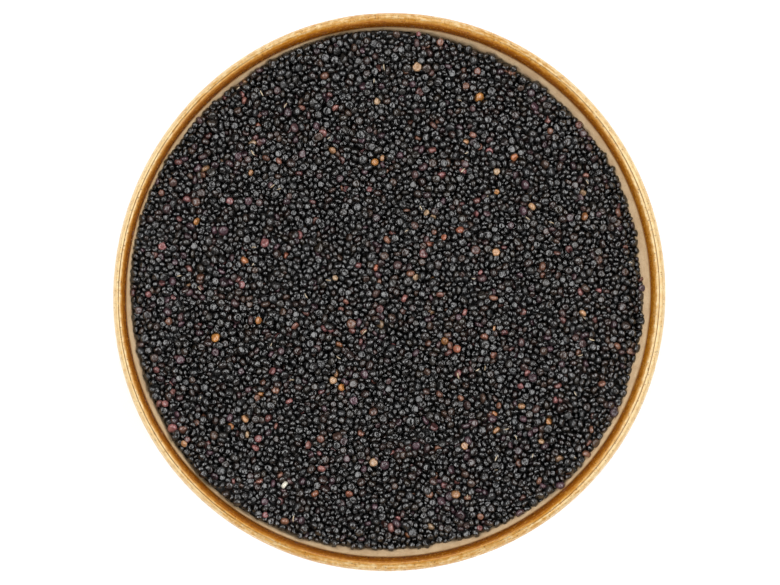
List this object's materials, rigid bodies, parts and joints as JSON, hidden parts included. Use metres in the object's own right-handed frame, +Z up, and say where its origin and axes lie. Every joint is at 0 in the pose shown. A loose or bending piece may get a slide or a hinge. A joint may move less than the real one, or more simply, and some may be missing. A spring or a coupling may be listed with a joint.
{
  "type": "dish of black quinoa",
  "caption": "Round stoneware dish with an amber glazed rim and a matt beige inside, filled nearly level with dry black quinoa.",
  "frame": {"origin": "on the surface that the dish stands on, under the middle of its outline", "axes": "+Z up through the middle of the dish; -Y is the side nearest the viewer"},
  "size_m": [0.1394, 0.1406, 0.044],
  "materials": {
    "amber_glaze": "glossy speckled honey and amber glaze, brown where it lies thick inside the lip",
    "beige_inside": "matt beige glaze on the inside wall and floor",
    "bare_clay": "unglazed fine clay on the foot ring",
    "quinoa_black": "dry seed coat, black to charcoal, half matt",
    "quinoa_plum": "dry seed coat, black with a plum or brown tint",
    "quinoa_rose": "dry seed coat, dusty rose to red brown",
    "quinoa_orange": "dry seed coat, orange",
    "quinoa_tan": "dry seed coat, tan to yellow",
    "quinoa_pale": "dry seed without its coat, cream white",
    "husk": "thin dry flake of husk, matt straw colour"
  },
  "bodies": {
    "root": {"dish": "amber_glaze", "quinoa_heap": "quinoa_black"}
  },
  "joints": []
}
